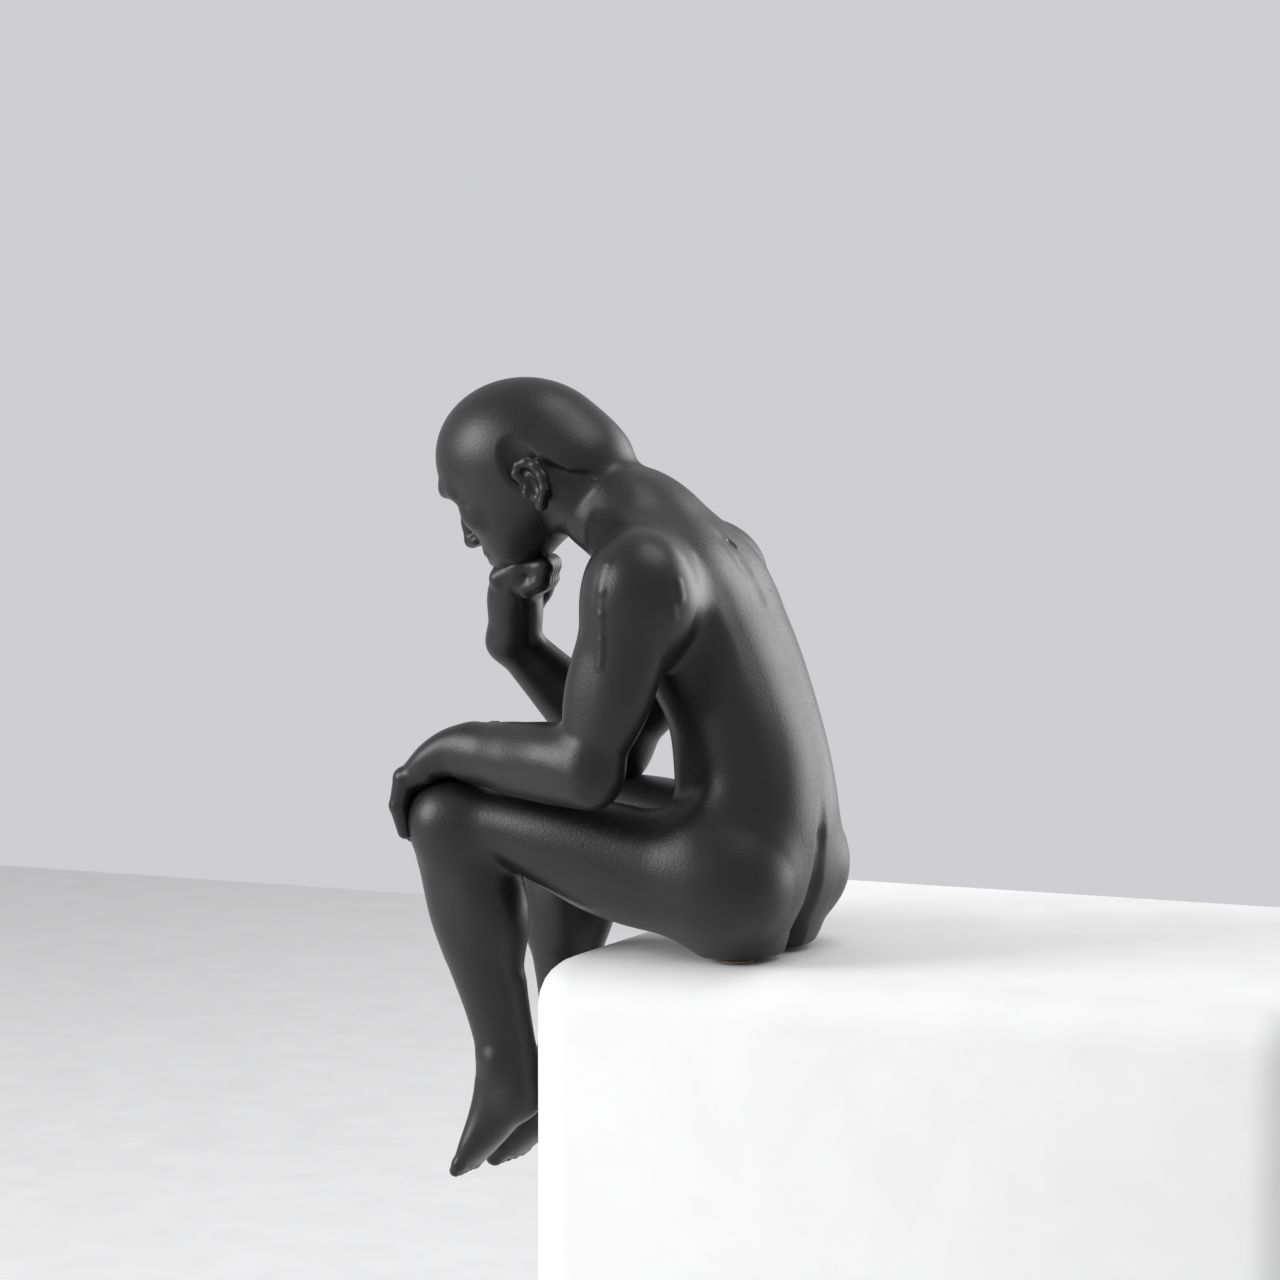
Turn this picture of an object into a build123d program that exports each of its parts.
from build123d import *

import os
from collections import namedtuple
from math import cos, radians, sin, sqrt

# A pensive seated figure for the edge of a shelf, cast in resin in ten pieces. Steel dowels locate the
# castings, which are bonded, and two gel pads under the seat hold the figure on its ledge.
# Frame: +Z is up, the figure faces -Y and its left side is +X. The origin lies on the ledge, midway
# between the two pads. All sizes are in millimetres and degrees.

# Seat
PAD_DIAMETER = 7.0
PAD_THICKNESS = 1.0
BUTTOCK_SPREAD = 13.0
BUTTOCK_RADIUS = 12.3
SEAT_FLAT_DEPTH = 0.8
SEAT_WIDTH = 30.0
SEAT_DEPTH = 14.0

# Trunk levels, each set above and forward of the level below it
HIP_LEVEL = 14.0
HIP_FORWARD = 1.0
HIP_WIDTH = 50.0
HIP_DEPTH = 21.0
WAIST_RISE = 23.0
WAIST_FORWARD = 1.0
WAIST_LEAN = 4.0
WAIST_WIDTH = 38.0
WAIST_DEPTH = 26.6
RIBS_RISE = 22.0
RIBS_FORWARD = 6.8
RIBS_LEAN = 15.0
RIBS_WIDTH = 41.0
RIBS_DEPTH = 27.6
CHEST_RISE = 15.3
CHEST_FORWARD = 8.3
CHEST_LEAN = 35.0
CHEST_WIDTH = 41.0
CHEST_DEPTH = 26.0
NECK_BASE_RISE = 12.3
NECK_BASE_FORWARD = 8.7
NECK_BASE_LEAN = 55.0
NECK_BASE_WIDTH = 27.0
NECK_BASE_DEPTH = 19.0
NECK_RISE = 3.1
NECK_FORWARD = 9.2
NECK_LEAN = 57.0
NECK_WIDTH = 17.6
NECK_DEPTH = 18.8

# Chest muscles, shoulder blades, and the muscles that slope from the neck to the shoulders
PECTORAL_RADIUS = 9.0
PECTORAL_SPREAD = 8.0
PECTORAL_STAND_OFF = 3.0
PECTORAL_RISE = 2.0
BLADE_RADIUS = 11.0
BLADE_SPREAD = 12.0
BLADE_BACK = 1.5
BLADE_RISE = 1.0
SLOPE_NECK_RADIUS = 6.0
SLOPE_NECK_ASIDE = 3.6
SLOPE_NECK_BACK = 5.6
SLOPE_SHOULDER_RADIUS = 5.4
SLOPE_SHOULDER_IN = 6.3
SLOPE_SHOULDER_RISE = 2.2

# Head, bowed forward
HEAD_PITCH = 28.0
CRANIUM_RISE = 8.4
CRANIUM_FORWARD = 16.8
CROWN_RISE = 15.7
CROWN_BACK = -0.8
CROWN_WIDTH = 5.2
CROWN_DEPTH = 6.6
VAULT_RISE = 13.8
VAULT_BACK = -1.0
VAULT_WIDTH = 15.6
VAULT_DEPTH = 21.4
TEMPLE_RISE = 8.0
TEMPLE_BACK = -0.7
TEMPLE_WIDTH = 26.8
TEMPLE_DEPTH = 33.6
BROW_BACK = 0.7
BROW_WIDTH = 30.6
BROW_DEPTH = 38.6
CHEEK_DROP = 8.0
CHEEK_BACK = 0.5
CHEEK_WIDTH = 25.0
CHEEK_DEPTH = 37.0
JAW_DROP = 15.0
JAW_BACK = 0.8
JAW_WIDTH = 19.4
JAW_DEPTH = 33.0
CHIN_DROP = 19.5
CHIN_BACK = -4.3
CHIN_WIDTH = 14.0
CHIN_DEPTH = 19.4
NOSE_ROOT_DROP = 1.0
NOSE_LENGTH = 7.7
NOSE_REACH = 2.4
NOSE_RADIUS = 2.2
NOSE_BRIDGE_RADIUS = 1.8
EAR_HEIGHT = 9.6
EAR_DEPTH = 5.6
EAR_BACK = 1.5
EAR_DROP = 4.5
EAR_STAND_OFF = 1.2

# Shoulders, set from the chest
ARM_CLEARANCE = 1.7
DELTOID_RADIUS = 9.0
DELTOID_COVER = 0.4
SHOULDER_REACH = 2.4
SHOULDER_TILT = 40.0
YOKE_HEIGHT = 19.0
YOKE_DEPTH = 20.0
YOKE_OVERLAP = 3.0
LEFT_SHOULDER_FORWARD = -2.6
LEFT_SHOULDER_RISE = 0.4
RIGHT_SHOULDER_FORWARD = 5.9
RIGHT_SHOULDER_RISE = -1.3

# Arms
UPPER_ARM_DEPTH = 16.0
UPPER_ARM_WIDTH = 14.6
ELBOW_RADIUS = 6.4
ELBOW_COVER = 0.3
FOREARM_DEPTH = 15.2
FOREARM_WIDTH = 13.2
FOREARM_BULGE = 13.0
WRIST_DEPTH = 9.6
WRIST_WIDTH = 9.4
LEFT_ELBOW_OUT = 0.6
LEFT_ELBOW_ALONG = 22.0
RIGHT_ELBOW_ALONG = 42.0
REST_GAP = 0.3

# Legs
HIP_SPREAD = 15.0
HIP_JOINT_FORWARD = 0.0
HIP_JOINT_HEIGHT = 15.5
HIP_SEAM_MARGIN = 0.8
HIP_ROOT_HEIGHT = 21.0
HIP_ROOT_WIDTH = 19.0
THIGH_ROOT_HEIGHT = 25.0
THIGH_ROOT_WIDTH = 23.6
THIGH_MID_ALONG = 36.0
THIGH_HEIGHT = 20.0
THIGH_WIDTH = 19.6
LEFT_KNEE_SPREAD = 17.0
LEFT_KNEE_REACH = 59.8
RIGHT_KNEE_SPREAD = 21.5
RIGHT_KNEE_REACH = 54.0
KNEE_RISE = 7.5
KNEE_RADIUS = 8.6
KNEE_COVER = 0.4
CALF_BELOW = 16.0
CALF_DEPTH = 20.2
CALF_WIDTH = 17.4
SHIN_BELOW = 31.0
SHIN_DEPTH = 15.4
SHIN_WIDTH = 14.0
ANKLE_DEPTH = 12.4
ANKLE_WIDTH = 10.6
LEFT_ANKLE_SPREAD = 14.5
LEFT_ANKLE_TUCK = 10.4
LEFT_SHIN_DROP = 46.5
RIGHT_ANKLE_SPREAD = 17.0
RIGHT_ANKLE_TUCK = 2.6
RIGHT_SHIN_DROP = 48.5

# Feet, hanging with the toes down
LEFT_FOOT_REACH = 10.6
LEFT_FOOT_DROP = 20.2
RIGHT_FOOT_REACH = 13.3
RIGHT_FOOT_DROP = 22.5
INSTEP_ALONG = 0.42
INSTEP_DEPTH = 11.0
INSTEP_WIDTH = 10.6
BALL_ALONG = 0.8
BALL_DEPTH = 7.0
BALL_WIDTH = 13.0
HEEL_RADIUS = 4.4
HEEL_BACK = 1.6
HEEL_DROP = 5.2
TOE_ROOT_DEPTH = 3.6
TOE_ROOT_WIDTH = 11.4
TOE_COUNT = 5
TOE_PITCH = 2.5
TOE_RADIUS = 1.55
TOE_LENGTH = 2.6
TOE_TIP_RADIUS = 1.15

# Hands
HAND_WIDTH = 13.0
HAND_THICKNESS = 6.6
FINGER_COUNT = 4
FINGER_PITCH = 3.1
FINGER_RADIUS = 1.95
FINGER_TIP_RADIUS = 1.35
LEFT_WRIST_OUT = 4.0
LEFT_WRIST_BACK = 6.6
LEFT_WRIST_LIFT = 3.0
LEFT_PALM_REACH = 2.7
LEFT_PALM_LIFT = 1.8
LEFT_KNUCKLE_LIFT = 1.4
LEFT_TIP_LIFT = 0.4
LEFT_TIP_DROP = 1.8
FIST_ASIDE = 2.5
FIST_FORWARD = 17.5
FIST_HEIGHT = 10.0
FIST_WIDTH = 12.0
FIST_DEPTH = 11.6
FIST_CURL = 6.2
CHIN_GAP = 0.4
RIGHT_WRIST_ASIDE = 3.5
RIGHT_WRIST_FORWARD = 2.3
RIGHT_WRIST_DROP = 8.0

# Dowels
NECK_DOWEL_DIAMETER = 4.0
NECK_DOWEL_LENGTH = 14.0
SHOULDER_DOWEL_DIAMETER = 4.0
SHOULDER_DOWEL_LENGTH = 13.0
HIP_DOWEL_DIAMETER = 4.0
HIP_DOWEL_LENGTH = 18.0
WRIST_DOWEL_DIAMETER = 2.0
WRIST_DOWEL_LENGTH = 8.0
ANKLE_DOWEL_DIAMETER = 2.5
ANKLE_DOWEL_LENGTH = 10.0
DOWEL_CLEARANCE = 0.05
DOWEL_END_CLEARANCE = 0.2

UP = Vector(0, 0, 1)
DOWN = Vector(0, 0, -1)
FRONT = Vector(0, -1, 0)
BACK = Vector(0, 1, 0)
LEFT = Vector(1, 0, 0)
RIGHT = Vector(-1, 0, 0)

Station = namedtuple("Station", "plane in_plane lateral")


def section(point, along, outer, depth, width):
    """Oval section of a limb: depth lies towards the outer side of its bend, width across it."""
    across = outer - along * (outer.dot(along) / along.dot(along))
    return Station(Plane(origin=point, x_dir=across, z_dir=along), depth / 2, width / 2)


def limb(stations):
    """Smooth solid through oval sections."""
    with BuildPart() as body:
        for station in stations:
            with BuildSketch(station.plane):
                Ellipse(station.in_plane, station.lateral)
        loft()
    return body.part


def digit(points, radii, side):
    """Finger, thumb or toe: round sections at its points, drawn in to a tip at the last one."""
    sections = []
    for index, radius in enumerate(radii):
        along = points[index + 1] - points[max(index - 1, 0)]
        with BuildSketch(Plane(origin=points[index], x_dir=side.cross(along), z_dir=along)) as ring:
            Circle(radius)
        sections.append(ring.sketch.face())
    with BuildPart() as body:
        loft(sections=[*sections, Vertex(*points[-1])])
    return body.part


def dowel(centre, along, diameter, length):
    """Round pin centred on a seam."""
    with BuildPart() as pin:
        with BuildSketch(Plane(origin=centre, z_dir=along)):
            Circle(diameter / 2)
        extrude(amount=length / 2, both=True)
    return pin.part


def socket(centre, along, diameter, length):
    """Room for a dowel in the castings on both sides of its seam."""
    return dowel(centre, along, diameter + 2 * DOWEL_CLEARANCE, length + 2 * DOWEL_END_CLEARANCE)


def save(builder, name):
    """Label a finished piece and write its STEP file."""
    builder.part.label = name
    export_step(builder.part, f"parts/{name}.step")


def trunk_plane(forward, height, lean):
    """Level section plane of the trunk, leaning forward."""
    normal = Vector(0, -sin(radians(lean)), cos(radians(lean)))
    return Plane(origin=(0, -forward, height), x_dir=LEFT, z_dir=normal)


# Trunk levels
waist_forward = HIP_FORWARD + WAIST_FORWARD
waist_height = HIP_LEVEL + WAIST_RISE
ribs_forward = waist_forward + RIBS_FORWARD
ribs_height = waist_height + RIBS_RISE
chest_forward = ribs_forward + CHEST_FORWARD
chest_height = ribs_height + CHEST_RISE
neck_base_forward = chest_forward + NECK_BASE_FORWARD
neck_base_height = chest_height + NECK_BASE_RISE
neck_forward = neck_base_forward + NECK_FORWARD
neck_height = neck_base_height + NECK_RISE
hip_plane = trunk_plane(HIP_FORWARD, HIP_LEVEL, 0)
chest_plane = trunk_plane(chest_forward, chest_height, CHEST_LEAN)
neck_plane = trunk_plane(neck_forward, neck_height, NECK_LEAN)
trunk_levels = [
    Station(trunk_plane(0, PAD_THICKNESS, 0), SEAT_WIDTH / 2, SEAT_DEPTH / 2),
    Station(hip_plane, HIP_WIDTH / 2, HIP_DEPTH / 2),
    Station(trunk_plane(waist_forward, waist_height, WAIST_LEAN), WAIST_WIDTH / 2, WAIST_DEPTH / 2),
    Station(trunk_plane(ribs_forward, ribs_height, RIBS_LEAN), RIBS_WIDTH / 2, RIBS_DEPTH / 2),
    Station(chest_plane, CHEST_WIDTH / 2, CHEST_DEPTH / 2),
    Station(
        trunk_plane(neck_base_forward, neck_base_height, NECK_BASE_LEAN),
        NECK_BASE_WIDTH / 2,
        NECK_BASE_DEPTH / 2,
    ),
    Station(neck_plane, NECK_WIDTH / 2, NECK_DEPTH / 2),
]
buttock_height = PAD_THICKNESS + BUTTOCK_RADIUS - SEAT_FLAT_DEPTH
pectoral_forward = CHEST_DEPTH / 2 + PECTORAL_STAND_OFF - PECTORAL_RADIUS
slope_root = neck_plane.origin - neck_plane.z_dir * SLOPE_NECK_BACK

# Head
cranium_centre = Vector(0, -neck_forward - CRANIUM_FORWARD, neck_height + CRANIUM_RISE)
head_up = Vector(0, -sin(radians(HEAD_PITCH)), cos(radians(HEAD_PITCH)))
head_plane = Plane(origin=cranium_centre, x_dir=LEFT, z_dir=head_up)

# Legs
left_hip = Vector(HIP_SPREAD, -HIP_JOINT_FORWARD, HIP_JOINT_HEIGHT)
right_hip = Vector(-HIP_SPREAD, -HIP_JOINT_FORWARD, HIP_JOINT_HEIGHT)
knee_height = HIP_JOINT_HEIGHT + KNEE_RISE
left_knee = Vector(LEFT_KNEE_SPREAD, -HIP_JOINT_FORWARD - LEFT_KNEE_REACH, knee_height)
right_knee = Vector(-RIGHT_KNEE_SPREAD, -HIP_JOINT_FORWARD - RIGHT_KNEE_REACH, knee_height)
left_ankle = Vector(LEFT_ANKLE_SPREAD, left_knee.Y + LEFT_ANKLE_TUCK, knee_height - LEFT_SHIN_DROP)
right_ankle = Vector(-RIGHT_ANKLE_SPREAD, right_knee.Y + RIGHT_ANKLE_TUCK, knee_height - RIGHT_SHIN_DROP)
left_thigh_along = (left_knee - left_hip).normalized()
right_thigh_along = (right_knee - right_hip).normalized()
belly_forward = max(waist_forward + WAIST_DEPTH / 2, HIP_FORWARD + HIP_DEPTH / 2)
hip_seam_along = belly_forward + HIP_SEAM_MARGIN - HIP_JOINT_FORWARD
left_hip_seam = left_hip + left_thigh_along * hip_seam_along
right_hip_seam = right_hip + right_thigh_along * hip_seam_along
left_shin_along = (left_ankle - left_knee).normalized()
right_shin_along = (right_ankle - right_knee).normalized()

# Arms
shoulder_spread = (max(RIBS_WIDTH, CHEST_WIDTH) + UPPER_ARM_WIDTH) / 2 + ARM_CLEARANCE
left_shoulder = Vector(
    shoulder_spread, -chest_forward - LEFT_SHOULDER_FORWARD, chest_height + LEFT_SHOULDER_RISE
)
right_shoulder = Vector(
    -shoulder_spread, -chest_forward - RIGHT_SHOULDER_FORWARD, chest_height + RIGHT_SHOULDER_RISE
)
left_seam_along = Vector(cos(radians(SHOULDER_TILT)), 0, -sin(radians(SHOULDER_TILT)))
right_seam_along = Vector(-left_seam_along.X, 0, left_seam_along.Z)
left_shoulder_seam = left_shoulder - left_seam_along * SHOULDER_REACH
right_shoulder_seam = right_shoulder - right_seam_along * SHOULDER_REACH
shoulder_seam_size = 2 * sqrt(DELTOID_RADIUS**2 - SHOULDER_REACH**2)
left_elbow_rest = left_hip + left_thigh_along * LEFT_ELBOW_ALONG
left_elbow = Vector(
    shoulder_spread + LEFT_ELBOW_OUT,
    left_elbow_rest.Y,
    left_elbow_rest.Z + THIGH_ROOT_HEIGHT / 2 + ELBOW_RADIUS + REST_GAP,
)
left_wrist = left_knee + Vector(
    LEFT_WRIST_OUT, LEFT_WRIST_BACK, KNEE_RADIUS + WRIST_DEPTH / 2 + LEFT_WRIST_LIFT
)
right_elbow = (
    right_hip
    + right_thigh_along * RIGHT_ELBOW_ALONG
    + UP * (THIGH_HEIGHT / 2 + ELBOW_RADIUS + REST_GAP)
)
fist = head_plane.from_local_coords(
    Vector(-FIST_ASIDE, -FIST_FORWARD, -CHIN_DROP - CHIN_GAP - FIST_HEIGHT / 2)
)
right_wrist = fist + Vector(-RIGHT_WRIST_ASIDE, -RIGHT_WRIST_FORWARD, -RIGHT_WRIST_DROP)
left_forearm_along = (left_wrist - left_elbow).normalized()
right_forearm_along = (right_wrist - right_elbow).normalized()

# Dowel places: centre, direction, diameter and length
dowels = {
    "neck_dowel": (neck_plane.origin, neck_plane.z_dir, NECK_DOWEL_DIAMETER, NECK_DOWEL_LENGTH),
    "left_shoulder_dowel": (
        left_shoulder_seam, left_seam_along, SHOULDER_DOWEL_DIAMETER, SHOULDER_DOWEL_LENGTH
    ),
    "right_shoulder_dowel": (
        right_shoulder_seam, right_seam_along, SHOULDER_DOWEL_DIAMETER, SHOULDER_DOWEL_LENGTH
    ),
    "left_hip_dowel": (left_hip_seam, left_thigh_along, HIP_DOWEL_DIAMETER, HIP_DOWEL_LENGTH),
    "right_hip_dowel": (right_hip_seam, right_thigh_along, HIP_DOWEL_DIAMETER, HIP_DOWEL_LENGTH),
    "left_wrist_dowel": (left_wrist, left_forearm_along, WRIST_DOWEL_DIAMETER, WRIST_DOWEL_LENGTH),
    "right_wrist_dowel": (right_wrist, right_forearm_along, WRIST_DOWEL_DIAMETER, WRIST_DOWEL_LENGTH),
    "left_ankle_dowel": (left_ankle, left_shin_along, ANKLE_DOWEL_DIAMETER, ANKLE_DOWEL_LENGTH),
    "right_ankle_dowel": (right_ankle, right_shin_along, ANKLE_DOWEL_DIAMETER, ANKLE_DOWEL_LENGTH),
}
sockets = {name: socket(*place) for name, place in dowels.items()}


def thigh_root(seam, along):
    """Oval of the hip seam, shared by the pelvis and the thigh."""
    return section(seam, along, UP, THIGH_ROOT_HEIGHT, THIGH_ROOT_WIDTH)


def shoulder_oval(seam, along):
    """Oval of a shoulder seam, shared by the trunk and the arm."""
    return section(seam, along, BACK, shoulder_seam_size, shoulder_seam_size)


def neck_slope(aside, seam):
    """Muscle that slopes from the neck to a shoulder."""
    root = slope_root + aside * SLOPE_NECK_ASIDE
    end = seam - aside * SLOPE_SHOULDER_IN + UP * SLOPE_SHOULDER_RISE
    return limb([
        section(root, end - root, BACK, 2 * SLOPE_NECK_RADIUS, 2 * SLOPE_NECK_RADIUS),
        section(end, end - root, BACK, 2 * SLOPE_SHOULDER_RADIUS, 2 * SLOPE_SHOULDER_RADIUS),
    ])


def wrist_oval(wrist, along, outer):
    """Oval of a wrist seam, shared by the forearm and the hand."""
    return section(wrist, along, outer, WRIST_DEPTH, WRIST_WIDTH)


def ankle_oval(ankle, along):
    """Oval of an ankle seam, shared by the shin and the foot."""
    return section(ankle, along, FRONT, ANKLE_DEPTH, ANKLE_WIDTH)


os.makedirs("parts", exist_ok=True)

# Torso: trunk, buttocks, hip stubs, shoulder yoke, neck slopes, chest muscles and shoulder blades in one
# form, cut flat over the pads
yoke_centre = Vector(0, (left_shoulder.Y + right_shoulder.Y) / 2, chest_height)
with BuildPart() as torso:
    add(limb(trunk_levels))
    with Locations((BUTTOCK_SPREAD, 0, buttock_height), (-BUTTOCK_SPREAD, 0, buttock_height)):
        Sphere(BUTTOCK_RADIUS)
    add(limb([
        section(left_hip, left_thigh_along, UP, HIP_ROOT_HEIGHT, HIP_ROOT_WIDTH),
        thigh_root(left_hip_seam, left_thigh_along),
    ]))
    add(limb([
        section(right_hip, right_thigh_along, UP, HIP_ROOT_HEIGHT, HIP_ROOT_WIDTH),
        thigh_root(right_hip_seam, right_thigh_along),
    ]))
    add(limb([
        section(yoke_centre + RIGHT * YOKE_OVERLAP, LEFT, BACK, YOKE_DEPTH, YOKE_HEIGHT),
        shoulder_oval(left_shoulder_seam, left_seam_along),
    ]))
    add(limb([
        section(yoke_centre + LEFT * YOKE_OVERLAP, RIGHT, BACK, YOKE_DEPTH, YOKE_HEIGHT),
        shoulder_oval(right_shoulder_seam, right_seam_along),
    ]))
    add(neck_slope(LEFT, left_shoulder_seam))
    add(neck_slope(RIGHT, right_shoulder_seam))
    for side in (LEFT, RIGHT):
        pectoral = chest_plane.from_local_coords(
            side * PECTORAL_SPREAD + FRONT * pectoral_forward + UP * PECTORAL_RISE
        )
        with Locations(Plane(origin=pectoral, x_dir=DOWN, z_dir=LEFT).location):
            Sphere(PECTORAL_RADIUS)
        blade = chest_plane.from_local_coords(side * BLADE_SPREAD + BACK * BLADE_BACK + UP * BLADE_RISE)
        with Locations(Plane(origin=blade, x_dir=LEFT, z_dir=chest_plane.z_dir).location):
            Sphere(BLADE_RADIUS)
    split(bisect_by=Plane.XY.offset(PAD_THICKNESS), keep=Keep.TOP)
    for name in ("neck_dowel", "left_shoulder_dowel", "right_shoulder_dowel"):
        add(sockets[name], mode=Mode.SUBTRACT)
    for name in ("left_hip_dowel", "right_hip_dowel"):
        add(sockets[name], mode=Mode.SUBTRACT)
save(torso, "torso")

# Head: skull and face in one form, nose and ears, cut by the neck seam
head_levels = [
    (-CHIN_DROP, CHIN_BACK, CHIN_WIDTH, CHIN_DEPTH),
    (-JAW_DROP, JAW_BACK, JAW_WIDTH, JAW_DEPTH),
    (-CHEEK_DROP, CHEEK_BACK, CHEEK_WIDTH, CHEEK_DEPTH),
    (0, BROW_BACK, BROW_WIDTH, BROW_DEPTH),
    (TEMPLE_RISE, TEMPLE_BACK, TEMPLE_WIDTH, TEMPLE_DEPTH),
    (VAULT_RISE, VAULT_BACK, VAULT_WIDTH, VAULT_DEPTH),
    (CROWN_RISE, CROWN_BACK, CROWN_WIDTH, CROWN_DEPTH),
]
nose_front = BROW_DEPTH / 2 - BROW_BACK
nose_line = [
    head_plane.from_local_coords(Vector(0, -nose_front - reach + NOSE_RADIUS, -NOSE_ROOT_DROP - drop))
    for reach, drop in (
        (0, 0),
        (NOSE_REACH / 2, NOSE_LENGTH / 2),
        (NOSE_REACH, NOSE_LENGTH),
        (NOSE_REACH, NOSE_LENGTH + NOSE_RADIUS),
    )
]
ear_root = head_plane.from_local_coords(Vector(0, EAR_BACK, -EAR_DROP))
with BuildPart() as head:
    for height, back, width, depth in head_levels:
        with BuildSketch(head_plane.offset(height)):
            with Locations((0, back)):
                Ellipse(width / 2, depth / 2)
    loft()
    add(digit(nose_line, [NOSE_RADIUS / 2, NOSE_BRIDGE_RADIUS, NOSE_RADIUS], LEFT))
    for side in (LEFT, RIGHT):
        with BuildSketch(Plane(origin=ear_root, x_dir=head_plane.y_dir, z_dir=side)):
            Ellipse(EAR_DEPTH / 2, EAR_HEIGHT / 2)
        extrude(amount=BROW_WIDTH / 2 + EAR_STAND_OFF)
    split(bisect_by=neck_plane, keep=Keep.TOP)
    add(sockets["neck_dowel"], mode=Mode.SUBTRACT)
save(head, "head")


def leg_body(hip, seam, along, knee, ankle, shin_along):
    """Bent leg from the hip seam to the ankle seam."""
    knee_oval = 2 * (KNEE_RADIUS - KNEE_COVER)
    with BuildPart() as leg:
        add(limb([
            thigh_root(seam, along),
            section(hip + along * THIGH_MID_ALONG, along, UP, THIGH_HEIGHT, THIGH_WIDTH),
            section(knee, along, UP, knee_oval, knee_oval),
        ]))
        with Locations(knee):
            Sphere(KNEE_RADIUS)
        add(limb([
            section(knee, shin_along, FRONT, knee_oval, knee_oval),
            section(knee + shin_along * CALF_BELOW, shin_along, FRONT, CALF_DEPTH, CALF_WIDTH),
            section(knee + shin_along * SHIN_BELOW, shin_along, FRONT, SHIN_DEPTH, SHIN_WIDTH),
            ankle_oval(ankle, shin_along),
        ]))
    return leg.part


# Legs: thigh, knee and shin in one casting each
with BuildPart() as left_leg:
    add(leg_body(left_hip, left_hip_seam, left_thigh_along, left_knee, left_ankle, left_shin_along))
    add(sockets["left_hip_dowel"], mode=Mode.SUBTRACT)
    add(sockets["left_ankle_dowel"], mode=Mode.SUBTRACT)
save(left_leg, "left_leg")

with BuildPart() as right_leg:
    add(leg_body(right_hip, right_hip_seam, right_thigh_along, right_knee, right_ankle, right_shin_along))
    add(sockets["right_hip_dowel"], mode=Mode.SUBTRACT)
    add(sockets["right_ankle_dowel"], mode=Mode.SUBTRACT)
save(right_leg, "right_leg")


def foot_body(ankle, shin_along, reach, drop):
    """Foot hanging from the ankle seam: instep, ball, heel and toes."""
    span = Vector(0, -reach, -drop)
    toe_along = span.normalized()
    ball = ankle + span * BALL_ALONG
    sole_side = LEFT.cross(toe_along)
    with BuildPart() as foot:
        add(limb([
            ankle_oval(ankle, shin_along),
            section(ankle + span * INSTEP_ALONG, toe_along + shin_along, FRONT, INSTEP_DEPTH, INSTEP_WIDTH),
            section(ball, toe_along, FRONT, BALL_DEPTH, BALL_WIDTH),
            section(ankle + span, toe_along, FRONT, TOE_ROOT_DEPTH, TOE_ROOT_WIDTH),
        ]))
        heel = ankle + shin_along * HEEL_DROP + BACK * HEEL_BACK
        with Locations(Plane(origin=heel, x_dir=DOWN, z_dir=LEFT).location):
            Sphere(HEEL_RADIUS)
        for index in range(TOE_COUNT):
            aside = LEFT * (TOE_PITCH * (index - (TOE_COUNT - 1) / 2))
            root = ball + aside
            knuckle = ankle + span + toe_along * TOE_RADIUS + aside
            tip = knuckle + toe_along * TOE_LENGTH
            near_tip = tip - toe_along * (TOE_TIP_RADIUS / 2)
            radii = [TOE_RADIUS, TOE_RADIUS, TOE_TIP_RADIUS]
            add(digit([root, knuckle, near_tip, tip], radii, sole_side))
        split(bisect_by=Plane(origin=ankle, z_dir=shin_along), keep=Keep.TOP)
    return foot.part


# Feet
with BuildPart() as left_foot:
    add(foot_body(left_ankle, left_shin_along, LEFT_FOOT_REACH, LEFT_FOOT_DROP))
    add(sockets["left_ankle_dowel"], mode=Mode.SUBTRACT)
save(left_foot, "left_foot")

with BuildPart() as right_foot:
    add(foot_body(right_ankle, right_shin_along, RIGHT_FOOT_REACH, RIGHT_FOOT_DROP))
    add(sockets["right_ankle_dowel"], mode=Mode.SUBTRACT)
save(right_foot, "right_foot")


def arm_body(side, seam, shoulder, elbow, wrist, forearm_along):
    """Bent arm from the shoulder seam to the wrist seam."""
    upper_along = (elbow - shoulder).normalized()
    deltoid_oval = 2 * (DELTOID_RADIUS - DELTOID_COVER)
    elbow_oval = 2 * (ELBOW_RADIUS - ELBOW_COVER)
    bulge = elbow + forearm_along * FOREARM_BULGE
    with BuildPart() as arm:
        with Locations(Plane(origin=shoulder, z_dir=side).location):
            Sphere(DELTOID_RADIUS)
        add(limb([
            section(shoulder, upper_along, BACK, deltoid_oval, deltoid_oval),
            section((shoulder + elbow) / 2, upper_along, BACK, UPPER_ARM_DEPTH, UPPER_ARM_WIDTH),
            section(elbow, upper_along, BACK, elbow_oval, elbow_oval),
        ]))
        split(bisect_by=Plane(origin=seam, z_dir=side), keep=Keep.TOP)
        with Locations(elbow):
            Sphere(ELBOW_RADIUS)
        add(limb([
            section(elbow, forearm_along, upper_along, elbow_oval, elbow_oval),
            section(bulge, forearm_along, upper_along, FOREARM_DEPTH, FOREARM_WIDTH),
            wrist_oval(wrist, forearm_along, upper_along),
        ]))
    return arm.part


# Arms: upper arm and forearm in one casting each
with BuildPart() as left_arm:
    add(arm_body(
        left_seam_along, left_shoulder_seam, left_shoulder, left_elbow, left_wrist, left_forearm_along
    ))
    add(sockets["left_shoulder_dowel"], mode=Mode.SUBTRACT)
    add(sockets["left_wrist_dowel"], mode=Mode.SUBTRACT)
save(left_arm, "left_arm")

with BuildPart() as right_arm:
    add(arm_body(
        right_seam_along, right_shoulder_seam, right_shoulder, right_elbow, right_wrist, right_forearm_along
    ))
    add(sockets["right_shoulder_dowel"], mode=Mode.SUBTRACT)
    add(sockets["right_wrist_dowel"], mode=Mode.SUBTRACT)
save(right_arm, "right_arm")

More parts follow.
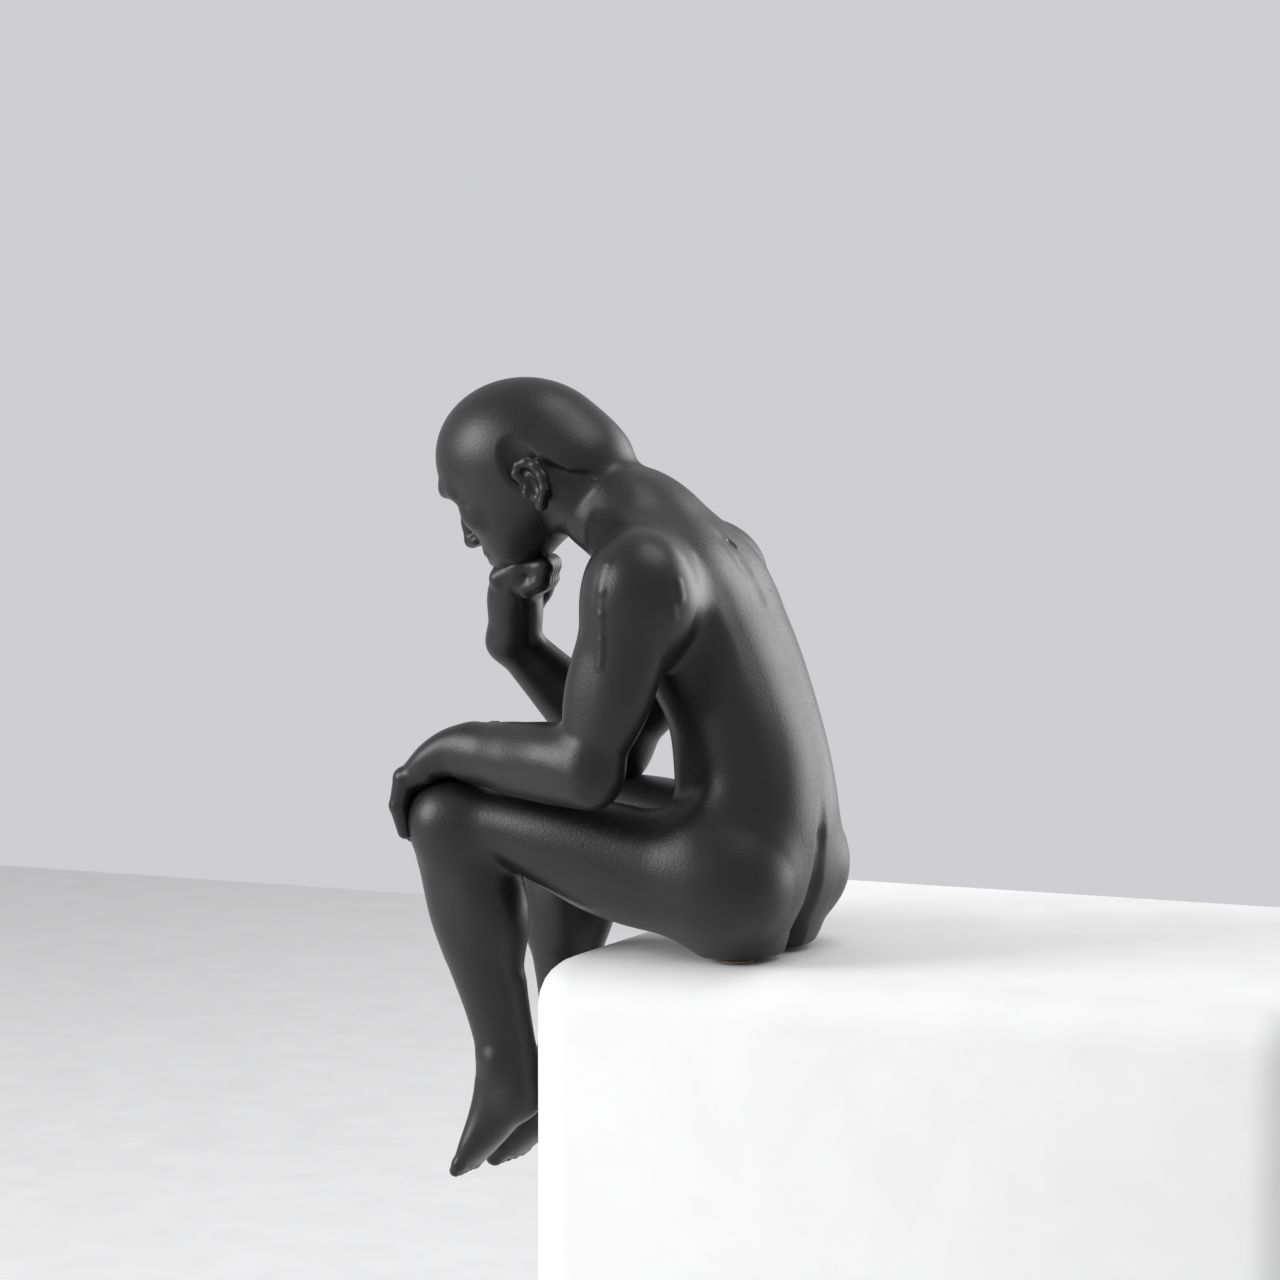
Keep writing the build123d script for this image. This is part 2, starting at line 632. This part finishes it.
# Left hand, laid over the knee
left_palm = left_knee + Vector(
    LEFT_WRIST_OUT / 2, -LEFT_PALM_REACH, KNEE_RADIUS + HAND_THICKNESS / 2 + LEFT_PALM_LIFT
)
left_knuckle = left_knee + (FRONT + UP) * (KNEE_RADIUS + LEFT_KNUCKLE_LIFT)
left_tip = left_knee + FRONT * (KNEE_RADIUS + LEFT_TIP_LIFT + FINGER_RADIUS) + DOWN * LEFT_TIP_DROP
left_outer = (left_elbow - left_shoulder).normalized()
with BuildPart() as left_hand:
    add(limb([
        wrist_oval(left_wrist, left_forearm_along, left_outer),
        section(left_palm, left_knuckle - left_wrist, DOWN, HAND_THICKNESS, HAND_WIDTH),
        section(left_knuckle, left_tip - left_palm, DOWN + BACK, HAND_THICKNESS, HAND_WIDTH),
    ]))
    for index in range(FINGER_COUNT):
        aside = LEFT * (FINGER_PITCH * (index - (FINGER_COUNT - 1) / 2))
        root = (left_palm + left_knuckle) / 2 + aside
        middle = (left_knuckle + left_tip + FRONT * FINGER_RADIUS) / 2 + aside
        end = left_tip + UP * FINGER_TIP_RADIUS + aside
        add(digit(
            [root, left_knuckle + aside, middle, end, left_tip + aside],
            [FINGER_RADIUS, FINGER_RADIUS, FINGER_RADIUS, FINGER_TIP_RADIUS],
            LEFT,
        ))
    add(sockets["left_wrist_dowel"], mode=Mode.SUBTRACT)
save(left_hand, "left_hand")

# Right hand, closed under the chin
fist_front = head_plane.y_dir * -1
fist_top = fist + head_up * (FIST_HEIGHT / 2 - FINGER_RADIUS)
right_outer = (right_elbow - right_shoulder).normalized()
with BuildPart() as right_hand:
    add(limb([
        wrist_oval(right_wrist, right_forearm_along, right_outer),
        section((right_wrist + fist) / 2, fist - right_wrist, FRONT, FIST_DEPTH, FIST_WIDTH),
        section(fist + head_up * (FIST_HEIGHT / 4), head_up, fist_front, FIST_DEPTH, FIST_WIDTH),
    ]))
    for index in range(FINGER_COUNT):
        aside = LEFT * (FINGER_PITCH * (index - (FINGER_COUNT - 1) / 2))
        root = fist + fist_front * (FIST_DEPTH / 2 - FINGER_RADIUS) + aside
        knuckle = fist_top + fist_front * (FIST_DEPTH / 4) + aside
        middle = fist_top - fist_front * (FIST_DEPTH / 4) + aside
        end = fist - fist_front * FIST_CURL + aside
        add(digit(
            [root, knuckle, middle, end, end - head_up * FINGER_RADIUS],
            [FINGER_RADIUS, FINGER_RADIUS, FINGER_RADIUS, FINGER_TIP_RADIUS],
            LEFT,
        ))
    add(sockets["right_wrist_dowel"], mode=Mode.SUBTRACT)
save(right_hand, "right_hand")

# Dowels
for name, place in dowels.items():
    with BuildPart() as pin:
        add(dowel(*place))
    save(pin, name)

# Seat pads
for name, spread in (("left_seat_pad", BUTTOCK_SPREAD), ("right_seat_pad", -BUTTOCK_SPREAD)):
    with BuildPart() as pad:
        with BuildSketch(Plane.XY):
            with Locations((spread, 0)):
                Circle(PAD_DIAMETER / 2)
        extrude(amount=PAD_THICKNESS)
    save(pad, name)
